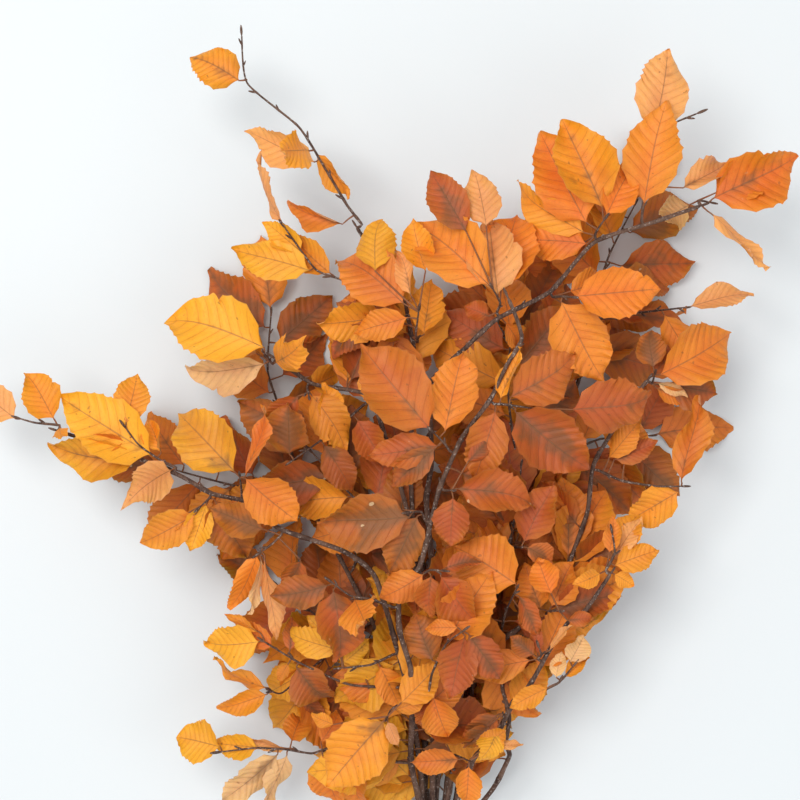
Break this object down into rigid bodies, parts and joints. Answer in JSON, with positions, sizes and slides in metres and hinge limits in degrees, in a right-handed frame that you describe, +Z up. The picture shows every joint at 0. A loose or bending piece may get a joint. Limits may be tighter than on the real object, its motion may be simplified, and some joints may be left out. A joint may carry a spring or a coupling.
{
  "type": "bunch of dried beech branches",
  "caption": "Bunch of cut beech branches with dried orange leaves, tied with a plain band at the bare stems and lying on a flat surface.",
  "frame": {"origin": "on the surface the bunch lies on, under the middle of its bounding box", "axes": "+Y from the cut ends of the stems to the tips, +X to the right seen from above, +Z up"},
  "size_m": [0.617, 0.74, 0.1558],
  "materials": {
    "leaf": "dry satin leaf, golden yellow to rust, with darker ribs",
    "twig": "thin dark purple-brown twig with small buds",
    "bark": "dull grey-brown bark with pale flecks",
    "cut_wood": "matt cut wood",
    "band": "dull natural rubber"
  },
  "bodies": {
    "root": {"stem_front": "bark", "stem_front_right": "bark", "stem_thin_right": "bark", "stem_left": "bark", "stem_main": "bark", "stem_right": "bark", "stem_upper_left": "bark", "stem_top_left": "bark", "stem_thin_middle": "bark", "stem_back_right": "bark", "stem_back_left": "bark", "band": "band", "spray_top_left": "leaf", "spray_left_upper": "leaf", "spray_crown_left": "leaf", "spray_crown_middle": "leaf", "spray_crown_right": "leaf", "spray_crown_tall": "leaf", "spray_crown_end": "leaf", "spray_right_middle": "leaf", "spray_right_reach": "leaf", "spray_right_end": "leaf", "spray_right_low": "leaf", "spray_rust_upper": "leaf", "spray_rust_left": "leaf", "spray_brown_left": "leaf", "spray_rust_right": "leaf", "spray_middle": "leaf", "spray_round": "leaf", "spray_rust_centre": "leaf", "spray_right_lobe": "leaf", "spray_right_fan": "leaf", "spray_right_tan": "leaf", "spray_smooth": "leaf", "spray_front": "leaf", "spray_left_far": "leaf", "spray_left_gold": "leaf", "spray_left_fork": "leaf", "spray_left_under": "leaf", "spray_left_hang": "leaf", "spray_gold_upper": "leaf", "spray_amber_left": "leaf", "spray_brown_upper": "leaf", "spray_low_brown": "leaf", "spray_low_gold": "leaf", "spray_low_dark": "leaf", "spray_low_fork": "leaf", "spray_low_left": "leaf", "spray_low_pair": "leaf", "spray_foot": "leaf", "spray_foot_right": "leaf", "spray_deep_1": "leaf", "spray_deep_2": "leaf", "spray_deep_3": "leaf", "spray_deep_4": "leaf", "spray_deep_5": "leaf", "spray_deep_6": "leaf", "spray_deep_7": "leaf", "spray_deep_8": "leaf", "spray_deep_9": "leaf"}
  },
  "joints": []
}
